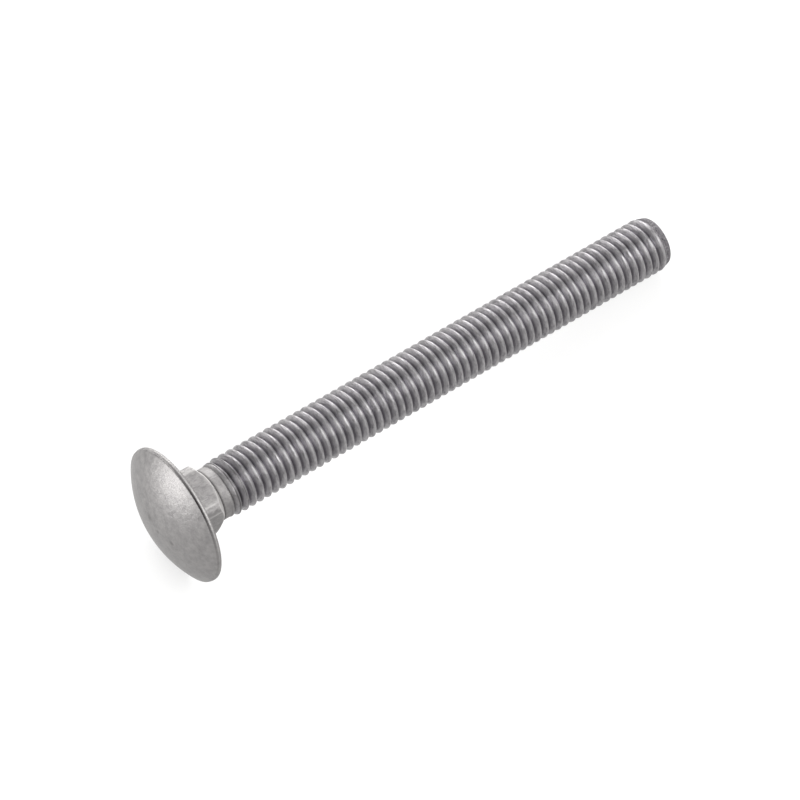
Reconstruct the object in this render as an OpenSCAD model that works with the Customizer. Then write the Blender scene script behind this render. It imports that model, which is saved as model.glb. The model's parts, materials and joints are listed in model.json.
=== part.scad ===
// Carriage bolt: a low domed head, a square neck that keeps the bolt from turning in its hole,
// a short plain collar and a coarse rolled thread down to the tip. Cold headed and thread
// rolled from one length of stainless wire, so it is one solid.
//
// The bolt is drawn upright about its own axis, with the seat under its head at height 0, the
// head below and the shank above. It is then laid down as it comes to rest: the rim of the
// head and a thread crest near the tip touch the floor. The head points along -X.
// Lengths are millimetres.

/* [Bolt] */
// Length from the seat under the head to the end of the shank
bolt_length = 99; // [30:1:120]

/* [Head] */
// Diameter of the head
head_d = 24; // [20:0.5:30]
// Height of the head, rim and dome together
head_h = 4.65; // [3.5:0.05:6]
// Height of the straight rim between the dome and the seat
rim_h = 0.85; // [0.5:0.05:1.4]
// Bevel on both edges of the rim
rim_bevel = 0.15; // [0.05:0.05:0.25]

/* [Square neck] */
// Width of the neck across its flats
neck_w = 9.5; // [9.4:0.1:11.6]
// Length of the neck from the seat to the collar
neck_h = 5.9; // [5:0.1:8]
// Rounding of the four corners
corner_rounding = 1.25; // [0.5:0.05:1.8]
// Slope of the cone in which the neck ends at the collar
shoulder_angle = 35; // [20:1:50]
// Fillet at both ends of the neck
neck_fillet = 0.4; // [0.2:0.05:0.6]

/* [Collar] */
// Length of the plain collar between the neck and the thread
collar_h = 1.4; // [1:0.1:4]
// How far the bare collar and tip lie below the crests of the thread
blank_step = 0.4; // [0.2:0.05:0.45]

/* [Thread] */
// Diameter over the crests of the thread
thread_d = 9.85; // [8:0.05:12]
// Distance from one crest to the next
pitch = 1.5; // [1.25:0.25:2]
// Turns over which the thread grows next to the collar
start_turns = 1.25; // [1:0.25:3]
// Turns over which the thread fades at the tip
end_turns = 0.5; // [0.5:0.25:1.5]

/* [Tip] */
// Diameter of the flat end face
tip_d = 8.7; // [7:0.1:9]
// Length of the taper from the crests down to the end face
tip_h = 1.8; // [0.6:0.1:2]
// Length of the band at the tip that has no thread
end_band = 0.7; // [0.4:0.1:1.5]

/* [Resting pose] */
// Turn of one neck flat away from level, about the axis of the bolt
neck_turn = 9; // [0:1:89]
// Turn of the start of the thread away from the floor, about the axis of the bolt
thread_turn = 90; // [0:18:342]

/* [Hidden] */

$fn = 96;

head_r = head_d/2;
dome_h = head_h - rim_h;
// Radius at which the dome meets the bevel of the rim
dome_edge_r = head_r - rim_bevel;
dome_r = (dome_edge_r*dome_edge_r + dome_h*dome_h)/(2*dome_h);

thread_r = thread_d/2;
// The wire's own radius, before the thread is rolled
blank_r = thread_r - blank_step;
collar_top = neck_h + collar_h;
tip_r = tip_d/2;

// Where the axis of a rounded corner lies, along and across the neck
corner_axis = neck_w/2 - corner_rounding;
// Widest radius that the cone of the shoulder has to cover
shoulder_r = neck_w/sqrt(2) + neck_fillet;
// The fillet between the cone and the collar: how far its ends lie from the corner it fills
fillet_reach = neck_fillet*tan(45 - shoulder_angle/2);
neck_top = neck_h + fillet_reach;

// A 60 degree thread form: crests one eighth of the pitch wide, and the usual depth
flank_angle = 30;
crest_w = pitch/8;
thread_depth = 0.6134*pitch;
flank_w = thread_depth*tan(flank_angle);
root_w = pitch - crest_w - 2*flank_w;

// Sides of the thread's outline, with one side square to the floor
sides = 20;
side_angle = 360/sides;
// How deep the thread's core is set into the collar, lengthways and all round
core_overlap = 0.5;
core_inset = 0.2;
// Least distance between the end of the collar and the start of the thread
start_gap = 0.02;
// The thread runs past this many sides, which need not be whole turns
side_steps = floor((bolt_length - end_band - collar_top - start_gap)/pitch*sides);
turns = side_steps/sides;
thread_start = bolt_length - end_band - turns*pitch;

// The thread is a skin over a grid of points. There is one column of points for each side of
// the outline, and four points in a pitch: both ends of the root, then both ends of the crest.
// Each column starts a little higher than the one before, and the last meets the first one
// pitch up, which makes the helix. Row 0 is the start of the first root.
row_height = [0, root_w, root_w + flank_w, root_w + flank_w + crest_w];
// Where each row lies against the bare wire once the thread is full
row_rise = [blank_step - thread_depth, blank_step - thread_depth, blank_step, blank_step];
// At the tip the root closes half a turn before the crest fades
row_early = [0.5, 0.5, 0, 0];

// The column on which the thread ends, and the top row of the columns past it
last_side = side_steps%sides;
short_row = 4*(floor(turns) - 1);
function top_row(side) = side > last_side ? short_row : short_row + 4;

// Turns since the start of the thread, for a row of a column
function turns_at(side, row) = side/sides + floor(row/4) + row_height[row%4]/pitch;
function height_at(side, row) = thread_start + pitch*turns_at(side, row);

// The outline that the tip tapers to: straight, then down to the end face
function taper_r(z) = tip_r + (thread_r - tip_r)*min(1, (bolt_length - z)/tip_h);

function radius_at(side, row) =
    let (
        t = turns_at(side, row),
        fullness = min(1, t/start_turns, max(0, turns - row_early[row%4] - t)/end_turns)
    )
    min(taper_r(height_at(side, row)), blank_r + fullness*row_rise[row%4]);

// The bare band starts a third of a pitch above the thread, or halfway to the end face
function band_start(side) =
    let (z = height_at(side, top_row(side)))
    min(z + pitch/3, (z + bolt_length)/2);
function band_r(side) = min(blank_r, taper_r(band_start(side)));

// Tilt at which a point of the shank would touch the floor while the head rests on it. The
// point lies on one of the two edges beside the side that faces the floor.
function touch_tilt(r, z) = atan((head_r - r*cos(side_angle/2))/(z + rim_bevel));
floor_side = sides - round(thread_turn/side_angle)%sides;
floor_edges = [floor_side - 1, floor_side%sides];
rest_tilt = min([
    touch_tilt(tip_r, bolt_length),
    for (side = floor_edges) touch_tilt(band_r(side), band_start(side)),
    for (side = floor_edges, row = [0 : top_row(side)])
        touch_tilt(radius_at(side, row), height_at(side, row))
]);
rest_height = head_r*cos(rest_tilt) - rim_bevel*sin(rest_tilt);
low_x = (dome_r - head_h)*cos(rest_tilt) - dome_r;
high_x = bolt_length*cos(rest_tilt) + tip_r*cos(side_angle/2)*sin(rest_tilt);

// Profile of the head: a rim with two bevelled edges and the dome as a true arc
module head_profile() {
    translate([0, -rim_h])
        polygon([
            [0, 0],
            [dome_edge_r, 0],
            [head_r, rim_bevel],
            [head_r, rim_h - rim_bevel],
            [head_r - rim_bevel, rim_h],
            [0, rim_h]
        ]);
    intersection() {
        translate([0, dome_r - head_h])
            circle(dome_r);
        translate([0, -head_h])
            square([head_r, dome_h]);
    }
}

module head() {
    rotate_extrude()
        head_profile();
}

// Profile of a neck wall from the middle outwards, with the fillet to the seat at its foot
module flared_wall(half_w) {
    difference() {
        union() {
            square([half_w, neck_top]);
            square([half_w + neck_fillet, neck_fillet]);
        }
        translate([half_w + neck_fillet, neck_fillet])
            circle(neck_fillet);
    }
}

// Two opposite flats, as one bar between the rounded corners
module flat_pair() {
    rotate([90, 0, 0])
        linear_extrude(2*corner_axis, center = true)
            for (side = [0, 1])
                mirror([side, 0])
                    flared_wall(neck_w/2);
}

// Profile of the turned end of the neck: a cone that runs into the collar by the other fillet
module shoulder_profile() {
    difference() {
        polygon([
            [0, 0],
            [shoulder_r, 0],
            [shoulder_r, neck_h - (shoulder_r - blank_r)*tan(shoulder_angle)],
            [
                blank_r + fillet_reach*cos(shoulder_angle),
                neck_h - fillet_reach*sin(shoulder_angle)
            ],
            [blank_r + neck_fillet, neck_top],
            [0, neck_top]
        ]);
        translate([blank_r + neck_fillet, neck_top])
            circle(neck_fillet);
    }
}

module square_neck() {
    intersection() {
        union() {
            for (turn = [0, 90])
                rotate([0, 0, turn])
                    flat_pair();
            for (x = [-1, 1], y = [-1, 1])
                translate([x*corner_axis, y*corner_axis])
                    rotate_extrude()
                        flared_wall(corner_rounding);
        }
        rotate_extrude()
            shoulder_profile();
    }
}

module collar() {
    translate([0, 0, neck_h/2])
        cylinder(h = collar_top - neck_h/2, r = blank_r);
}

function on_side(side, r, z) =
    let (a = thread_turn + (side + 0.5)*side_angle)
    [r*cos(a), r*sin(a), z];

module thread() {
    // Each column is its foot in the collar, its rows, the start of the bare band and the end
    points = [
        for (side = [0 : sides - 1]) each [
            on_side(side, blank_r - core_inset, collar_top - core_overlap),
            for (row = [0 : top_row(side)])
                on_side(side, radius_at(side, row), height_at(side, row)),
            on_side(side, band_r(side), band_start(side)),
            on_side(side, tip_r, bolt_length)
        ]
    ];

    // Places of those points in the list. One side past the last column is the first column,
    // one pitch up.
    function foot(side) = side%sides*(short_row + 4) + 4*min(side%sides, last_side + 1);
    function at(side, row) = side == sides ? foot(0) + 1 + row + 4 : foot(side) + 1 + row;
    function band(side) = foot(side) + top_row(side%sides) + 2;
    function end(side) = band(side) + 1;

    // Rows that a side shares with the next one
    function shared_row(side) = side < last_side ? short_row + 4 : short_row;
    helix_skin = [
        for (side = [0 : sides - 1], row = [0 : shared_row(side) - 1]) each [
            [at(side, row), at(side + 1, row + 1), at(side + 1, row)],
            [at(side, row), at(side, row + 1), at(side + 1, row + 1)]
        ]
    ];
    foot_skin = [
        for (side = [0 : sides - 2]) each [
            [foot(side), at(side + 1, 0), foot(side + 1)],
            [foot(side), at(side, 0), at(side + 1, 0)]
        ]
    ];
    band_skin = [
        for (side = [0 : sides - 1], row = shared_row(side)) each [
            if (side != last_side) [at(side, row), band(side + 1), at(side + 1, row)],
            if (side != last_side) [at(side, row), band(side), band(side + 1)],
            [band(side), end(side + 1), band(side + 1)],
            [band(side), end(side), end(side + 1)]
        ]
    ];
    // A step of one pitch is left where the thread starts and where it ends. Fans close them.
    first_step = [foot(sides - 1), foot(0), for (row = [0 : 4]) at(0, row)];
    start_fan = [
        for (i = [0 : len(first_step) - 2])
            [at(sides - 1, 0), first_step[i + 1], first_step[i]]
    ];
    last_step = [
        for (row = [short_row : short_row + 4]) at(last_side, row),
        band(last_side),
        band(last_side + 1)
    ];
    end_fan = [
        for (i = [0 : len(last_step) - 2])
            [at(last_side + 1, short_row), last_step[i], last_step[i + 1]]
    ];
    foot_cap = [for (side = [0 : sides - 1]) foot(side)];
    end_cap = [for (side = [sides - 1 : -1 : 0]) end(side)];

    polyhedron(points, concat(
        helix_skin, foot_skin, band_skin, start_fan, end_fan, [foot_cap, end_cap]
    ));
}

module bolt() {
    rotate([0, 0, neck_turn]) {
        head();
        square_neck();
        collar();
    }
    thread();
}

// Lays the upright bolt along +X, tip down by the resting tilt, centred over its own floor area
module carriage_bolt() {
    color("#8f8e8d")
        translate([-(low_x + high_x)/2, 0, rest_height])
            rotate([0, 90 + rest_tilt, 0])
                bolt();
}

carriage_bolt();
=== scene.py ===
"""A carriage bolt lying on a pale table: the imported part's frame, dressed for the render."""
import json
import bpy
import numpy as np
from mathutils import Matrix, Vector


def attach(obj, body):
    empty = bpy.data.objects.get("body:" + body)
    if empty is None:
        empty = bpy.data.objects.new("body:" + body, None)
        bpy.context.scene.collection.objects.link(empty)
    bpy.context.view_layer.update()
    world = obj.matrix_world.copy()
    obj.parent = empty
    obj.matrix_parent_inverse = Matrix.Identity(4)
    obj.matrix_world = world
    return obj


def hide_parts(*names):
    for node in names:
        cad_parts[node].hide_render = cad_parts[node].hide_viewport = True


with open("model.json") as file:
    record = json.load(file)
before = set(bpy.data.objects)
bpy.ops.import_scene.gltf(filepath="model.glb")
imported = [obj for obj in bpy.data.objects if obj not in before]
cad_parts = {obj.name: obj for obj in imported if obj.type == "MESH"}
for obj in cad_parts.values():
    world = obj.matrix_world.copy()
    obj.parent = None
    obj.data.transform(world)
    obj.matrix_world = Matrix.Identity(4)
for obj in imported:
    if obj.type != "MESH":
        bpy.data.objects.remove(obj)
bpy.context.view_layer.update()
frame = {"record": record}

# The bolt is one length of stainless wire, cold headed at one end and thread rolled along the
# rest. Its surface is worked out about its own axis, in millimetres: x points down, y sideways
# and z from the seat under the head to the tip. The frame's record says how it lies.
NECK_H = 5.9
mounts = {mount["name"]: mount for mount in frame["record"]["mounts"]}
bolt_axis = Vector(mounts["square_neck"]["axis"])
seat_centre = Vector(mounts["square_neck"]["pos_m"])*1000 - bolt_axis*NECK_H/2
bolt_tilt = np.arcsin(-bolt_axis.z)
laid_down = Matrix.Translation(seat_centre/1000) @ Matrix.Rotation(np.pi/2 + bolt_tilt, 4, "Y")

# Columns of the mesh run along the bolt, eight round each corner of the neck and sixteen over
# each flat. The first one is where the thread starts.
NECK_W = 9.5
CORNER_ROUNDING = 1.25
NECK_TURN = np.radians(9)
THREAD_START_ANGLE = np.radians(99)
COLUMNS_ON_CORNER, COLUMNS_ON_FLAT = 8, 16
corner_edge = np.arctan2(NECK_W/2 - CORNER_ROUNDING, NECK_W/2)
on_flat = np.linspace(-corner_edge, corner_edge, COLUMNS_ON_FLAT, endpoint=False)
on_corner = np.linspace(corner_edge, np.pi/2 - corner_edge, COLUMNS_ON_CORNER, endpoint=False)
quarter = np.concatenate([on_flat, on_corner])
angles = np.concatenate([NECK_TURN + quarter + turn*np.pi/2 for turn in range(4)])
past_start = (angles - THREAD_START_ANGLE) % (2*np.pi)
angles = THREAD_START_ANGLE + np.sort(past_start)
COLUMNS = len(angles)

# The head: a low dome struck by the upset die, over a thin straight rim. A fine crease is left
# in the rim where the two halves of the die met. Each ring is (radius, height), and only the
# crease's depth changes on the way round.
HEAD_R = 12.0
HEAD_H = 4.65
RIM_H = 0.85
RIM_ROUNDING = 0.15
dome_edge = HEAD_R - RIM_ROUNDING
dome_rise = HEAD_H - RIM_H
dome_r = (dome_edge**2 + dome_rise**2)/(2*dome_rise)
DOME_RINGS = 29
CREASE_LIP = 0.06
dome_end = np.arcsin((dome_edge - CREASE_LIP)/dome_r)
dome_turn = dome_end*np.sin(np.linspace(0, np.pi/2, DOME_RINGS + 1)[1:])
dome_rings = np.stack([dome_r*np.sin(dome_turn), dome_r*(1 - np.cos(dome_turn)) - HEAD_H], 1)

# The crease is deepest at one side of the head and runs out to a quarter of that depth
CREASE_DEPTH, CREASE_W = 0.2, 0.42
CREASE_ANGLE, CREASE_SPREAD = np.radians(212), np.radians(38)
CREASE_LEAST = 0.25
# Each ring's share of the crease's depth, its share of the width, and the radius it starts from
crease_rings = np.array([
    [0.1, 0.0, dome_edge - 0.01],
    [0.75, 0.12, HEAD_R - 0.08],
    [1.0, 0.4, HEAD_R - 0.04],
    [0.75, 0.7, HEAD_R - 0.02],
    [0.12, 0.92, HEAD_R - 0.01],
    [0.0, 1.15, HEAD_R],
])
from_crease = (angles - CREASE_ANGLE + np.pi) % (2*np.pi) - np.pi
crease_depth = CREASE_DEPTH*(
    CREASE_LEAST + (1 - CREASE_LEAST)*np.exp(-(from_crease/CREASE_SPREAD)**2))
crease_radius = crease_rings[:, 2:] - crease_rings[:, :1]*crease_depth
crease_height = crease_rings[:, 1:2]*CREASE_W - RIM_H

round_over = np.linspace(0, np.pi/2, 5)
rim_rings = np.stack([
    HEAD_R - RIM_ROUNDING*(1 - np.cos(round_over)),
    -RIM_ROUNDING*(1 - np.sin(round_over))], 1)
head_radius = np.concatenate([
    np.repeat(dome_rings[:, :1], COLUMNS, 1), crease_radius,
    np.repeat(rim_rings[:, :1], COLUMNS, 1)])
head_height = np.concatenate([dome_rings[:, 1:], crease_height, rim_rings[:, 1:]])
head_height = np.repeat(head_height, COLUMNS, 1)

# The seat, the square neck and the collar: struck square in the same blow. The flats flare into
# the seat by a fillet, and end in a cone that runs down to the bare wire.
THREAD_R = 4.925
BLANK_R = THREAD_R - 0.4
NECK_FILLET = 0.4
SHOULDER_SLOPE = np.tan(np.radians(35))


def square_radius(angle, half_width, rounding):
    """Distance from the axis to a rounded square: half_width/cos on a flat, and on a corner the
    ray's far crossing of the rounding's own circle."""
    off = np.abs((angle - NECK_TURN + np.pi/4) % (np.pi/2) - np.pi/4)
    corner = half_width - rounding
    flat_end = np.arctan2(corner, half_width)
    reach, swing = corner*np.sqrt(2), np.pi/4 - off
    round_part = reach*np.cos(swing) + np.sqrt(
        np.maximum(rounding**2 - (reach*np.sin(swing))**2, 0))
    return np.where(off <= flat_end, half_width/np.cos(off), round_part)


seat_share = np.array([0.03, 0.3, 0.6, 0.85])[:, None]
neck_foot = square_radius(angles, NECK_W/2 + NECK_FILLET, CORNER_ROUNDING + NECK_FILLET)
seat_radius = dome_edge + (neck_foot - dome_edge)*seat_share
fillet_turn = np.linspace(0, np.pi/2, 6)[:, None]
fillet_offset = NECK_FILLET*(1 - np.sin(fillet_turn))
foot_radius = np.concatenate([
    square_radius(angles, NECK_W/2 + offset, CORNER_ROUNDING + offset)[None]
    for offset in fillet_offset[:, 0]])
foot_height = np.repeat(NECK_FILLET*(1 - np.cos(fillet_turn)), COLUMNS, 1)

# The wall, and the worn edge that takes it over into the cone: a short curve between a point on
# each, drawn towards the sharp corner that they would make
EDGE_ROUNDING = 0.16
wall_radius = square_radius(angles, NECK_W/2, CORNER_ROUNDING)
wall_end = NECK_H - (wall_radius - BLANK_R)*SHOULDER_SLOPE
wall_share = np.array([0.15, 0.35, 0.55, 0.75, 0.92])[:, None]
wall_height = NECK_FILLET + (wall_end - EDGE_ROUNDING - NECK_FILLET)*wall_share
wall_rows = np.repeat(wall_radius[None], len(wall_share), 0)
slope_length = np.hypot(1, SHOULDER_SLOPE)
along_wall = np.stack([wall_radius, wall_end - EDGE_ROUNDING])
corner_point = np.stack([wall_radius, wall_end])
along_cone = corner_point + EDGE_ROUNDING/slope_length*np.array([[-1], [SHOULDER_SLOPE]])
edge_share = np.linspace(0, 1, 5)[:, None, None]
edge_curve = ((1 - edge_share)**2*along_wall + 2*edge_share*(1 - edge_share)*corner_point
              + edge_share**2*along_cone)

# The cone, its fillet into the bare wire, and the collar
fillet_reach = NECK_FILLET*np.tan(np.pi/4 - np.arctan(SHOULDER_SLOPE)/2)
cone_foot = np.array([
    [BLANK_R + fillet_reach/slope_length], [NECK_H - fillet_reach*SHOULDER_SLOPE/slope_length]])
cone_share = np.array([0.12, 0.35, 0.65, 0.9])[:, None, None]
cone_rows = along_cone + (cone_foot - along_cone)*cone_share
hollow_turn = np.linspace(np.pi/2 - np.arctan(SHOULDER_SLOPE), 0, 6)
hollow_rings = np.stack([
    BLANK_R + NECK_FILLET*(1 - np.cos(hollow_turn)),
    NECK_H + fillet_reach - NECK_FILLET*np.sin(hollow_turn)], 1)
collar_rings = np.array([[BLANK_R, height] for height in (6.35, 6.7, 7.0, 7.2)])
collar_rows = np.repeat(np.concatenate([hollow_rings, collar_rings])[:, :, None], COLUMNS, 2)

neck_radius = np.concatenate([
    seat_radius, foot_radius, wall_rows, edge_curve[:, 0], cone_rows[:, 0], collar_rows[:, 0]])
neck_height = np.concatenate([
    0*seat_radius, foot_height, wall_height, edge_curve[:, 1], cone_rows[:, 1],
    collar_rows[:, 1]])

# The thread: rolled between flat dies, which press the groove below the bare wire and let the
# metal rise into the crest. Where it starts the crest isn't filled and shows two lips. The tip
# was sheared to a taper before, and the thread closes just short of it.
BOLT_LENGTH = 99.0
TIP_R = 4.35
TIP_H = 1.8
PITCH = 1.5
COLLAR_END = 7.325
THREAD_TURNS = 60.65
CREST_W = PITCH/6.5
THREAD_DEPTH = 0.6134*PITCH
FLANK_SLOPE = 1/np.tan(np.radians(30))
ROOT_W = PITCH - CREST_W - 2*THREAD_DEPTH/FLANK_SLOPE
ROOT_ROUNDING, CREST_ROUNDING = 0.22, 0.28
# Where the first groove's middle lies past the collar
FIRST_GROOVE = 0.125
# Turns over which the crest rises and the groove deepens at the collar, over which both fade at
# the tip, and by which the groove closes before the crest
START_TURNS, GROOVE_TURNS, END_TURNS, ROOT_CLOSES_EARLY = 1.25, 0.9, 0.5, 0.5
# The lips: their width along the bolt, and how high the hollow between them starts
LIP_W, HOLLOW_SHARE = 0.17, 0.25


def from_groove(angle, height):
    """Distance along the bolt from the middle of the nearest turn of the groove, in mm: the
    first one is FIRST_GROOVE past the thread's start, and each turn of angle adds a pitch."""
    advance = height - COLLAR_END - FIRST_GROOVE - PITCH*(angle - THREAD_START_ANGLE)/(2*np.pi)
    return np.abs((advance + PITCH/2) % PITCH - PITCH/2)


def thread_radius(angle, height):
    """Radius of the rolled surface. The die's tooth is a root and two straight 60 degree flanks
    that a hyperbola joins: (u + hypot(u, rounding))/2 for a height u up the flank. It is pressed
    in by a share that grows over the first turns and closes at the tip. The displaced metal
    rises beside it in two lips that join into one crest. The surface is the lower of tooth and
    crest, less (rounding - gap)^2/(4 rounding) where their gap is under the rounding."""
    turn = (height - COLLAR_END)/PITCH
    from_root = from_groove(angle, height)
    grown = np.clip(turn/START_TURNS, 0, 1)
    closing = np.clip((THREAD_TURNS - ROOT_CLOSES_EARLY - turn)/END_TURNS, 0, 1)
    pressed = np.minimum(np.clip(turn/GROOVE_TURNS, 0, 1), closing)
    filled = np.minimum(grown, np.clip((THREAD_TURNS - turn)/END_TURNS, 0, 1))
    root = BLANK_R - pressed*(THREAD_DEPTH - (THREAD_R - BLANK_R))
    up_flank = FLANK_SLOPE*(from_root - ROOT_W/2)
    tooth = root + (up_flank + np.hypot(up_flank, ROOT_ROUNDING))/2
    lip = np.exp(-((from_root - PITCH/2 + CREST_W)/LIP_W)**2)
    lips = filled + (1 - filled)*(HOLLOW_SHARE + (1 - HOLLOW_SHARE)*lip)
    crest = BLANK_R + filled*(THREAD_R - BLANK_R)*lips
    overlap = np.maximum(CREST_ROUNDING - np.abs(tooth - crest), 0)
    surface = np.minimum(tooth, crest) - overlap**2/(4*CREST_ROUNDING)
    taper = TIP_R + (THREAD_R - TIP_R)*np.minimum(1, (BOLT_LENGTH - height)/TIP_H)
    return np.minimum(surface, taper)


# Rows of the grid follow the helix, close together on the groove's floor and on the crest. A
# wedge of rows at each end opens from nothing to a full pitch in one turn, so the grid starts
# and ends on a plain ring. Once round leads from a row to the one a pitch further along.
PITCHES_IN_GRID = 60
row_steps = np.array([
    0, 0.0375, 0.083, 0.129, 0.2, 0.33, 0.43, 0.483, 0.533, 0.583, 0.633, 0.683, 0.74, 0.87])
ROWS_A_PITCH = len(row_steps)
rise = PITCH*(angles - angles[0])/(2*np.pi)
helix_start = COLLAR_END + PITCH*(angles[0] - THREAD_START_ANGLE)/(2*np.pi)
helix_end = helix_start + PITCH*PITCHES_IN_GRID
helix_steps = PITCH*(np.arange(PITCHES_IN_GRID)[:, None] + row_steps).ravel()
start_wedge = helix_start + rise*row_steps[:, None]
helix_rows = helix_start + rise + np.append(helix_steps, PITCH*PITCHES_IN_GRID)[:, None]
wedge_steps = np.append(row_steps[1:], 1)[:, None]
end_wedge = helix_end + rise + (PITCH - rise)*wedge_steps
thread_height = np.concatenate([start_wedge, helix_rows, end_wedge])
thread_grid_radius = thread_radius(angles, thread_height)

# The tip: the wire was sheared off before the thread was rolled, so the end is a bare, rough
# taper and a flat face.
END_ROUNDING = 0.12
end_turn = np.linspace(0, np.pi/2, 5)[1:]
tip_rings = np.concatenate([
    [[TIP_R + (THREAD_R - TIP_R)*END_ROUNDING/TIP_H, BOLT_LENGTH - END_ROUNDING]],
    np.stack([
        TIP_R - END_ROUNDING*(1 - np.cos(end_turn)),
        BOLT_LENGTH - END_ROUNDING*(1 - np.sin(end_turn))], 1),
    [[share*(TIP_R - END_ROUNDING), BOLT_LENGTH] for share in (0.85, 0.6, 0.35, 0.15)]])
tip_radius, tip_height = (np.repeat(tip_rings[:, k, None], COLUMNS, 1) for k in (0, 1))

# The whole bolt: one closed surface through all of these rows, with a single point at the crown
# of the dome and one in the middle of the end face.
radius = np.concatenate([head_radius, neck_radius, thread_grid_radius, tip_radius])
height = np.concatenate([head_height, neck_height, thread_height, tip_height])
rows = len(radius)
points = np.stack([radius*np.cos(angles), radius*np.sin(angles), height], 2).reshape(-1, 3)
points = np.concatenate([points, [[0, 0, -HEAD_H], [0, 0, BOLT_LENGTH]]])

front_rows = len(head_radius) + len(neck_radius)
thread_rows = slice(front_rows, front_rows + len(thread_height))
index = np.arange(rows*COLUMNS).reshape(rows, COLUMNS)
# The first column's wedge of rows has no height, so they are one point
index[thread_rows][:ROWS_A_PITCH, 0] = index[front_rows + ROWS_A_PITCH, 0]
one_round_on = index[:, 0].copy()
in_thread = np.arange(thread_rows.start, thread_rows.stop)
one_round_on[in_thread] = index[
    np.minimum(in_thread + ROWS_A_PITCH, thread_rows.stop - 1), 0]
one_round_on[front_rows] = index[front_rows + ROWS_A_PITCH, 0]


def skin(index, one_round_on):
    """Two triangles between each four neighbours, round the bolt and back to where the round
    ends. Triangles that have lost a side are left out."""
    beside = np.concatenate([index[:, 1:], one_round_on[:, None]], 1)
    a, b, c, d = index[:-1], beside[:-1], beside[1:], index[1:]
    faces = np.concatenate([
        np.stack([a, d, c], -1).reshape(-1, 3), np.stack([a, c, b], -1).reshape(-1, 3)])
    whole = (faces != np.roll(faces, 1, 1)).all(1)
    return faces[whole]


head_pole, tip_pole = rows*COLUMNS, rows*COLUMNS + 1
first_ring, end_ring = index[0], index[-1]
faces = np.concatenate([
    skin(index, one_round_on),
    np.stack([np.full(COLUMNS, head_pole), first_ring, np.roll(first_ring, -1)], 1),
    np.stack([np.full(COLUMNS, tip_pole), np.roll(end_ring, -1), end_ring], 1)])
used, faces = np.unique(faces, return_inverse=True)
faces = faces.reshape(-1, 3)
points = points[used]

mesh = bpy.data.meshes.new("carriage_bolt")
mesh.vertices.add(len(points))
mesh.vertices.foreach_set("co", (points/1000).ravel())
mesh.loops.add(faces.size)
mesh.loops.foreach_set("vertex_index", faces.ravel())
mesh.polygons.add(len(faces))
mesh.polygons.foreach_set("loop_start", np.arange(0, faces.size, 3))
mesh.polygons.foreach_set("use_smooth", np.ones(len(faces), bool))
mesh.update(calc_edges=True)
mesh.validate()
mesh.transform(laid_down)
bolt = bpy.data.objects.new("carriage_bolt_finished", mesh)
bpy.context.scene.collection.objects.link(bolt)


# What the finish follows, as a share from 0 to 1 at each point of the mesh: how far up the
# thread's flanks it is, how much of the thread is formed there, whether it lies on the sheared
# end, how much painted shade it takes in a seam, and how much painted highlight it takes on an
# edge.
def smooth_step(low, high, value):
    """0 below low, 1 above high, 3t^2 - 2t^3 between them."""
    t = np.clip((value - low)/(high - low), 0, 1)
    return t*t*(3 - 2*t)


def bell(off, spread):
    """1 at the middle and exp(-1) at the spread: exp(-(off/spread)^2)."""
    return np.exp(-(off/spread)**2)


distance = np.hypot(points[:, 0], points[:, 1])
turn_of = np.arctan2(points[:, 1], points[:, 0])
place_along = points[:, 2]
on_thread = (place_along > COLLAR_END) & (place_along < BOLT_LENGTH - 0.01)
up_the_flank = np.where(
    on_thread, (distance - THREAD_R + THREAD_DEPTH)/THREAD_DEPTH, 1).clip(0, 1)
formed = smooth_step(COLLAR_END, COLLAR_END + START_TURNS*PITCH, place_along)

# The torn end starts where the groove fades, and at the latest a band before the end face
FADE_BEFORE_END, SHEARED_BAND, SHEAR_BLUR = 0.33, 0.9, 0.25
end_angle = THREAD_START_ANGLE + 2*np.pi*(THREAD_TURNS % 1)
thread_end = COLLAR_END + PITCH*(
    THREAD_TURNS - 1 - FADE_BEFORE_END + (turn_of - end_angle) % (2*np.pi)/(2*np.pi))
shear_line = np.minimum(thread_end, BOLT_LENGTH - SHEARED_BAND)
sheared = smooth_step(0, SHEAR_BLUR, place_along - shear_line)

# Painted shade in the seams, dark where shade falls: the rim's crease, the foot of the cone at
# the collar, the seam between the two lips of the crest that isn't filled yet, and the floor of
# the groove over the first turns
# Painted shade in the rim's crease, darkest where the crease is deepest
crease_rows = slice(len(dome_rings), len(dome_rings) + len(crease_rings))
rim_crease_shade = np.zeros(index.shape)
rim_crease_shade[crease_rows] = np.minimum(crease_rings[:, :1]*1.1, 1)*(crease_depth/CREASE_DEPTH)**2
rim_crease_shade = np.append(rim_crease_shade.ravel(), [0, 0])[used]
# Painted shade at the foot of the cone, where it runs into the collar
CONE_FOOT, CONE_FOOT_SPREAD, CONE_FOOT_SHARE = NECK_H + 0.12, 0.16, 0.75
cone_foot_shade = CONE_FOOT_SHARE*bell(place_along - CONE_FOOT, CONE_FOOT_SPREAD)*(
    distance < BLANK_R + 0.3)
# Painted shade in the hollow between the lips and on the groove's floor, over the first turns
SEAM_SPREAD, GROOVE_SHADE_SPREAD, GROOVE_SHADE_SHARE, SEAM_SHARE, SEAM_TURNS = 0.12, 0.16, 0.8, 0.85, 2.6
turns_on = (place_along - COLLAR_END)/PITCH
off_groove = from_groove(turn_of, place_along)
seam = bell(PITCH/2 - off_groove, SEAM_SPREAD) + GROOVE_SHADE_SHARE*bell(off_groove, GROOVE_SHADE_SPREAD)
seam_share = SEAM_SHARE*on_thread*np.clip(4*turns_on, 0, 1)*np.clip(SEAM_TURNS - turns_on, 0, 1)
painted_seam_shade = np.maximum(np.maximum(rim_crease_shade, cone_foot_shade), seam*seam_share)
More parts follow.
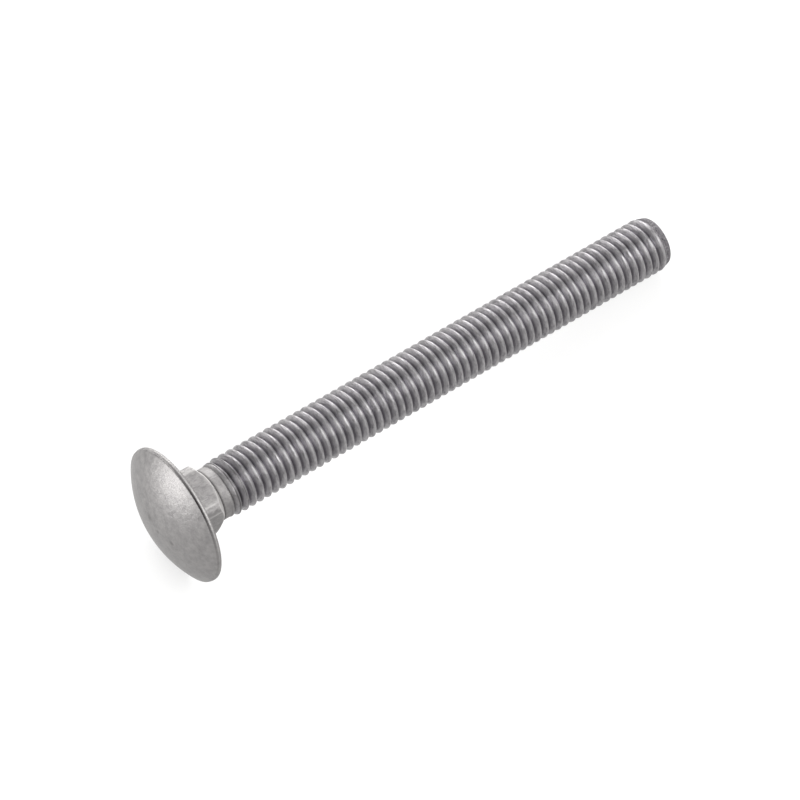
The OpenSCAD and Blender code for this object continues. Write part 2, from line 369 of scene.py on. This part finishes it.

# Painted highlights on edges, bright where light catches them: where the flats end in the cone
# and in the corners, and the lower lip of the rim
FLAT_END_SPREAD, CORNER_SPREAD, CORNER_SHARE = 0.1, 0.03, 0.45
LIP_SPREAD, LIP_LEAST, LIP_MORE, LIP_REACH = 0.09, 0.1, 0.4, 0.6
off_flat_end = place_along - NECK_H + (distance - BLANK_R)*SHOULDER_SLOPE
off_middle = np.abs((turn_of - NECK_TURN + np.pi/4) % (np.pi/2) - np.pi/4)
on_wall = (distance > NECK_W/2 - 0.12) & (place_along > NECK_FILLET)
corner_highlight = CORNER_SHARE*bell(off_middle - corner_edge, CORNER_SPREAD)*(off_flat_end < 0)
neck_edge_highlight = on_wall*np.maximum(bell(off_flat_end, FLAT_END_SPREAD), corner_highlight)
lip_middle = CREASE_W*crease_rings[-1, 1] - RIM_H
round_from_crease = (turn_of - CREASE_ANGLE + np.pi) % (2*np.pi) - np.pi
lip_share = LIP_LEAST + LIP_MORE*bell(round_from_crease, LIP_REACH)
rim_lip_highlight = lip_share*bell(place_along - lip_middle, LIP_SPREAD)*(distance > HEAD_R - 0.2)
painted_edge_highlight = np.maximum(neck_edge_highlight, rim_lip_highlight)

finishes = {
    "up_the_flank": up_the_flank, "formed": formed, "sheared": sheared, "painted_seam_shade": painted_seam_shade,
    "painted_edge_highlight": painted_edge_highlight}
for name, values in finishes.items():
    layer = mesh.attributes.new(name, "FLOAT", "POINT")
    layer.data.foreach_set("value", values.astype(np.float32))


# Austenitic stainless steel as the dies left it, unplated: satin where the head was struck,
# burnished by the rolling dies along the thread, torn and grainy where the wire was sheared.
def linear(colour):
    """A #rrggbb sRGB colour as linear RGBA."""
    srgb = np.array([int(colour[i:i + 2], 16) for i in (1, 3, 5)])/255
    value = np.where(srgb <= 0.04045, srgb/12.92, ((srgb + 0.055)/1.055)**2.4)
    return (*value.tolist(), 1.0)


def add_node(tree, kind, inputs=(), **settings):
    """A node with its settings. Each input is a value, or another node's socket to link."""
    node = tree.nodes.new(kind)
    for name, value in settings.items():
        setattr(node, name, value)
    for name, value in dict(inputs).items():
        if isinstance(value, bpy.types.NodeSocket):
            tree.links.new(value, node.inputs[name])
        else:
            node.inputs[name].default_value = value
    return node


steel = bpy.data.materials.new("cold_worked_stainless_steel")
steel.use_nodes = True
tree = steel.node_tree
tree.nodes.clear()
# The flank share sets painted shade down the thread; the last two carry painted seam shade and
# painted edge highlights
flank, rolled, torn, seam_shade, edge_highlight = (
    add_node(tree, "ShaderNodeAttribute", attribute_name=name).outputs["Fac"]
    for name in finishes)

# Millimetres from the seat, with x along the bolt, so each scale below is one over a size in mm
place = add_node(tree, "ShaderNodeTexCoord").outputs["Object"]
along = add_node(
    tree, "ShaderNodeMapping",
    {"Vector": place, "Location": seat_centre/1000, "Rotation": (0, bolt_tilt, 0),
     "Scale": (0.001, 0.001, 0.001)},
    vector_type="TEXTURE").outputs["Vector"]
bolt_place = add_node(tree, "ShaderNodeSeparateXYZ", {"Vector": along}).outputs["X"]
# Die texture and handling on the head: clouds a millimetre or two across with finer grain
mottle = add_node(
    tree, "ShaderNodeTexNoise",
    {"Vector": along, "Scale": 1.0, "Detail": 5, "Roughness": 0.72}).outputs["Fac"]
cloud = add_node(
    tree, "ShaderNodeMapRange",
    {"Value": mottle, "From Min": 0.34, "From Max": 0.66}).outputs[0]
# Marks that the die drew along the flats of the neck as it let go: a quarter of a millimetre
# wide and a millimetre long
drawn_place = add_node(
    tree, "ShaderNodeMapping", {"Vector": along, "Scale": (0.9, 4.4, 4.4)}).outputs["Vector"]
drawn = add_node(
    tree, "ShaderNodeTexNoise", {"Vector": drawn_place, "Scale": 1.0, "Detail": 3}).outputs["Fac"]
# Rolling streaks: a fifth of a millimetre apart along the bolt, over one long round it
streak_place = add_node(
    tree, "ShaderNodeMapping", {"Vector": along, "Scale": (4.6, 0.8, 0.8)}).outputs["Vector"]
streak = add_node(
    tree, "ShaderNodeTexNoise",
    {"Vector": streak_place, "Scale": 1.0, "Detail": 4, "Roughness": 0.68}).outputs["Fac"]
# Torn grain of the sheared end, a third of a millimetre
grain = add_node(
    tree, "ShaderNodeTexNoise",
    {"Vector": along, "Scale": 3.2, "Detail": 3, "Roughness": 0.7}).outputs["Fac"]
speckle = add_node(
    tree, "ShaderNodeMapRange", {"Value": grain, "From Min": 0.35, "From Max": 0.65}).outputs[0]

# The head, with three rubs on the dome where something dark was knocked against it
head_colour = add_node(
    tree, "ShaderNodeMix", {"Factor": cloud, 6: linear("#7C7A7A"), 7: linear("#908E8D")},
    data_type="RGBA").outputs[2]
for rub, reach in (((-4.57, 1.3, 1.2), 1.0), ((-4.63, -1.0, 0), 0.5), ((-4.21, -4.2, 0.2), 0.6)):
    away = add_node(
        tree, "ShaderNodeVectorMath", {0: along, 1: rub}, operation="DISTANCE").outputs["Value"]
    rubbed = add_node(
        tree, "ShaderNodeMapRange",
        {"Value": away, "From Min": 0.1, "From Max": reach, "To Min": 0.5, "To Max": 0.0})
    head_colour = add_node(
        tree, "ShaderNodeMix",
        {"Factor": rubbed.outputs[0], 6: head_colour, 7: linear("#4E4C4B")},
        data_type="RGBA").outputs[2]
# Dark ticks that the die drew at the shank end of the flats
near_end = add_node(
    tree, "ShaderNodeMapRange", {"Value": bolt_place, "From Min": 2.6, "From Max": 4.4}).outputs[0]
before_end = add_node(
    tree, "ShaderNodeMapRange",
    {"Value": bolt_place, "From Min": 4.9, "From Max": 5.3, "To Min": 0.3, "To Max": 0.0})
tick = add_node(
    tree, "ShaderNodeMapRange", {"Value": drawn, "From Min": 0.53, "From Max": 0.66}).outputs[0]
tick = add_node(
    tree, "ShaderNodeMath", {0: tick, 1: near_end}, operation="MULTIPLY").outputs[0]
tick = add_node(
    tree, "ShaderNodeMath", {0: tick, 1: before_end.outputs[0]}, operation="MULTIPLY").outputs[0]
head_colour = add_node(
    tree, "ShaderNodeMix", {"Factor": tick, 6: head_colour, 7: linear("#4E4C4B")},
    data_type="RGBA").outputs[2]

# The thread: painted shade darkens it down the flanks from the crest, and most in the lowest
# third of the groove; it is also streaked along the helix
thread_colour = add_node(
    tree, "ShaderNodeMix", {"Factor": flank, 6: linear("#8B888C"), 7: linear("#ABA9AA")},
    data_type="RGBA").outputs[2]
groove_floor_shade = add_node(
    tree, "ShaderNodeMapRange", {"Value": flank, "From Min": 0.05, "From Max": 0.4}).outputs[0]
thread_colour = add_node(
    tree, "ShaderNodeMix", {"Factor": groove_floor_shade, 6: linear("#57545A"), 7: thread_colour},
    data_type="RGBA").outputs[2]
darker_streak = add_node(
    tree, "ShaderNodeMapRange",
    {"Value": streak, "From Min": 0.43, "From Max": 0.66, "To Min": 0.0, "To Max": 0.55})
thread_colour = add_node(
    tree, "ShaderNodeMix",
    {"Factor": darker_streak.outputs[0], 6: thread_colour, 7: linear("#656266")},
    data_type="RGBA").outputs[2]
worked_colour = add_node(
    tree, "ShaderNodeMix", {"Factor": rolled, 6: head_colour, 7: thread_colour},
    data_type="RGBA").outputs[2]
torn_colour = add_node(
    tree, "ShaderNodeMix", {"Factor": speckle, 6: linear("#5B595C"), 7: linear("#989598")},
    data_type="RGBA").outputs[2]
colour = add_node(
    tree, "ShaderNodeMix", {"Factor": torn, 6: worked_colour, 7: torn_colour},
    data_type="RGBA").outputs[2]

# Painted highlights on the edges and painted shade in the seams over all of it
EDGE_HIGHLIGHT_STRENGTH = 0.75
edge_highlight = add_node(
    tree, "ShaderNodeMath", {0: edge_highlight, 1: EDGE_HIGHLIGHT_STRENGTH}, operation="MULTIPLY").outputs[0]
colour = add_node(
    tree, "ShaderNodeMix", {"Factor": edge_highlight, 6: colour, 7: linear("#D8D6D4")},
    data_type="RGBA").outputs[2]
colour = add_node(
    tree, "ShaderNodeMix", {"Factor": seam_shade, 6: colour, 7: linear("#262424")},
    data_type="RGBA").outputs[2]

# Satin dome, duller rim and neck, burnished thread, matt torn end
NECK_ROUGH, TORN_ROUGH = 0.6, 0.72
on_neck = add_node(
    tree, "ShaderNodeMapRange",
    {"Value": bolt_place, "From Min": -1.0, "From Max": -0.6}).outputs[0]
dome_rough = add_node(
    tree, "ShaderNodeMapRange",
    {"Value": mottle, "From Min": 0.3, "From Max": 0.7, "To Min": 0.4, "To Max": 0.48})
headed_rough = add_node(
    tree, "ShaderNodeMix",
    {"Factor": on_neck, 2: dome_rough.outputs[0], 3: NECK_ROUGH}).outputs[0]
thread_rough = add_node(
    tree, "ShaderNodeMapRange",
    {"Value": streak, "From Min": 0.3, "From Max": 0.7, "To Min": 0.36, "To Max": 0.56})
worked_rough = add_node(
    tree, "ShaderNodeMix",
    {"Factor": rolled, 2: headed_rough, 3: thread_rough.outputs[0]}).outputs[0]
rough = add_node(
    tree, "ShaderNodeMix", {"Factor": torn, 2: worked_rough, 3: TORN_ROUGH}).outputs[0]

# Shallow relief: how deep the dies' texture is on the headed end and on the thread, and the torn
# grain on the sheared end, in metres
HEADED_DEPTH, ROLLED_DEPTH, TORN_DEPTH = 0.00008, 0.00019, 0.0004
head_relief = add_node(
    tree, "ShaderNodeMix", {"Factor": on_neck, 2: mottle, 3: drawn}).outputs[0]
worked_relief = add_node(
    tree, "ShaderNodeMix", {"Factor": rolled, 2: head_relief, 3: streak}).outputs[0]
relief = add_node(
    tree, "ShaderNodeMix", {"Factor": torn, 2: worked_relief, 3: grain}).outputs[0]
worked_depth = add_node(
    tree, "ShaderNodeMix", {"Factor": rolled, 2: HEADED_DEPTH, 3: ROLLED_DEPTH}).outputs[0]
relief_depth = add_node(
    tree, "ShaderNodeMix", {"Factor": torn, 2: worked_depth, 3: TORN_DEPTH}).outputs[0]
bump = add_node(
    tree, "ShaderNodeBump", {"Height": relief, "Strength": 1.0, "Distance": relief_depth})

# The rolling dies leave fine lines round the thread, which spread a reflection along the bolt
LINED_STRENGTH = 0.85
lined = add_node(
    tree, "ShaderNodeMath", {0: rolled, 1: LINED_STRENGTH}, operation="MULTIPLY").outputs[0]
across_lines = add_node(
    tree, "ShaderNodeVectorTransform", {"Vector": bolt_axis}, vector_type="VECTOR",
    convert_from="OBJECT", convert_to="WORLD").outputs["Vector"]
shader = add_node(
    tree, "ShaderNodeBsdfPrincipled",
    {"Base Color": colour, "Metallic": 1.0, "Roughness": rough, "Anisotropic": lined,
     "Tangent": across_lines, "Normal": bump.outputs["Normal"]})
add_node(tree, "ShaderNodeOutputMaterial", {"Surface": shader.outputs["BSDF"]})
mesh.materials.append(steel)

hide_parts("carriage_bolt")
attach(bolt, "root")

# The table of a product photograph: a wide sheet of matt white paper. Looked at straight or in
# the steel it is mostly plain white, and it keeps part of the bolt's soft shadow.
TABLE_HALF_W = 4.0
WHITE_SHARE = 0.62
table_mesh = bpy.data.meshes.new("pale_table")
corners = TABLE_HALF_W*np.array([[-1, -1, 0], [1, -1, 0], [1, 1, 0], [-1, 1, 0]])
table_mesh.from_pydata(corners.tolist(), [], [(0, 1, 2, 3)])
table = bpy.data.objects.new("pale_table", table_mesh)
bpy.context.scene.collection.objects.link(table)
paper = bpy.data.materials.new("matt_white_paper")
paper.use_nodes = True
sheet = paper.node_tree.nodes["Principled BSDF"]
sheet.inputs["Base Color"].default_value = linear("#E2E2E1")
sheet.inputs["Roughness"].default_value = 0.9
seen = add_node(paper.node_tree, "ShaderNodeLightPath").outputs
looked_at = add_node(
    paper.node_tree, "ShaderNodeMath",
    {0: seen["Is Camera Ray"], 1: seen["Is Glossy Ray"]}, operation="MAXIMUM").outputs[0]
looked_at = add_node(
    paper.node_tree, "ShaderNodeMath",
    {0: looked_at, 1: seen["Is Transmission Ray"]}, operation="MAXIMUM").outputs[0]
share = add_node(
    paper.node_tree, "ShaderNodeMath", {0: looked_at, 1: WHITE_SHARE}, operation="MULTIPLY")
white = add_node(
    paper.node_tree, "ShaderNodeEmission", {"Color": linear("#FFFFFF"), "Strength": 1.0})
mixed = add_node(
    paper.node_tree, "ShaderNodeMixShader",
    {0: share.outputs[0], 1: sheet.outputs["BSDF"], 2: white.outputs["Emission"]})
paper.node_tree.links.new(
    mixed.outputs["Shader"], paper.node_tree.nodes["Material Output"].inputs["Surface"])
table_mesh.materials.append(paper)

# The light: a plain pale room and five soft boxes. Two low ones beyond the bolt and by its head
# light the dome, and three long ones lie along it, beyond, before and over it.
ROOM_LIGHT = 0.66
world = bpy.data.worlds.new("plain_room")
bpy.context.scene.world = world
world.use_nodes = True
room = world.node_tree.nodes["Background"]
room.inputs["Color"].default_value = linear("#FFFFFF")
room.inputs["Strength"].default_value = ROOM_LIGHT


def soft_light(name, turn, up, distance, size, glow, long_side=None):
    """A rectangular soft light facing the bolt, at a compass turn and a height in degrees. Its
    power follows from how bright its face is: glow times pi times its area."""
    turn, up = np.radians(turn), np.radians(up)
    toward = Vector((np.cos(up)*np.cos(turn), np.cos(up)*np.sin(turn), np.sin(up)))
    across = long_side or Vector((0, 0, 1)).cross(toward)
    across = (across - across.dot(toward)*toward).normalized()
    lamp = bpy.data.lights.new(name, "AREA")
    lamp.shape, lamp.size, lamp.size_y = "RECTANGLE", *size
    lamp.energy = glow*np.pi*size[0]*size[1]
    light = bpy.data.objects.new(name, lamp)
    light.location = toward*distance
    light.rotation_euler = Matrix((across, toward.cross(across), toward)).transposed().to_euler()
    bpy.context.scene.collection.objects.link(light)


soft_light("softbox_beyond", 70, 17, 0.6, (0.5, 0.2), 8.6)
soft_light("softbox_head_side", 160, 8, 0.6, (0.36, 0.16), 10.0)
soft_light("softbox_far", 60, 44, 0.7, (0.7, 0.34), 4.3, long_side=bolt_axis)
soft_light("softbox_near", -110, 24, 0.7, (0.7, 0.25), 1.3, long_side=bolt_axis)
soft_light("strip_along_bolt", -84, 53, 0.5, (0.9, 0.23), 5.0, long_side=bolt_axis)

# The camera looks down on the bolt from the head's side, with a long lens. The place of the
# seat in the photograph gives its distance: right, down and forward of the lens, in mm.
VIEW_TURN, VIEW_DOWN = np.radians(-37.37), np.radians(55.23)
SEAT_FROM_LENS = (-35.33, 18.11, 603.48)
LENS_PIXELS, IMAGE_PIXELS = 3795.8, 800
right = Vector((np.cos(VIEW_TURN), np.sin(VIEW_TURN), 0))
forward = Vector((
    -np.sin(VIEW_TURN)*np.cos(VIEW_DOWN), np.cos(VIEW_TURN)*np.cos(VIEW_DOWN),
    -np.sin(VIEW_DOWN)))
down = forward.cross(right)
lens = bpy.data.cameras.new("camera")
lens.sensor_width = 36
lens.lens = lens.sensor_width*LENS_PIXELS/IMAGE_PIXELS
lens.clip_start, lens.clip_end = 0.05, 20
camera = bpy.data.objects.new("camera", lens)
camera.location = (
    seat_centre - SEAT_FROM_LENS[0]*right - SEAT_FROM_LENS[1]*down
    - SEAT_FROM_LENS[2]*forward)/1000
camera.rotation_euler = Matrix((right, -down, -forward)).transposed().to_euler()
bpy.context.scene.collection.objects.link(camera)
bpy.context.scene.camera = camera
bpy.context.scene.view_settings.view_transform = "Standard"
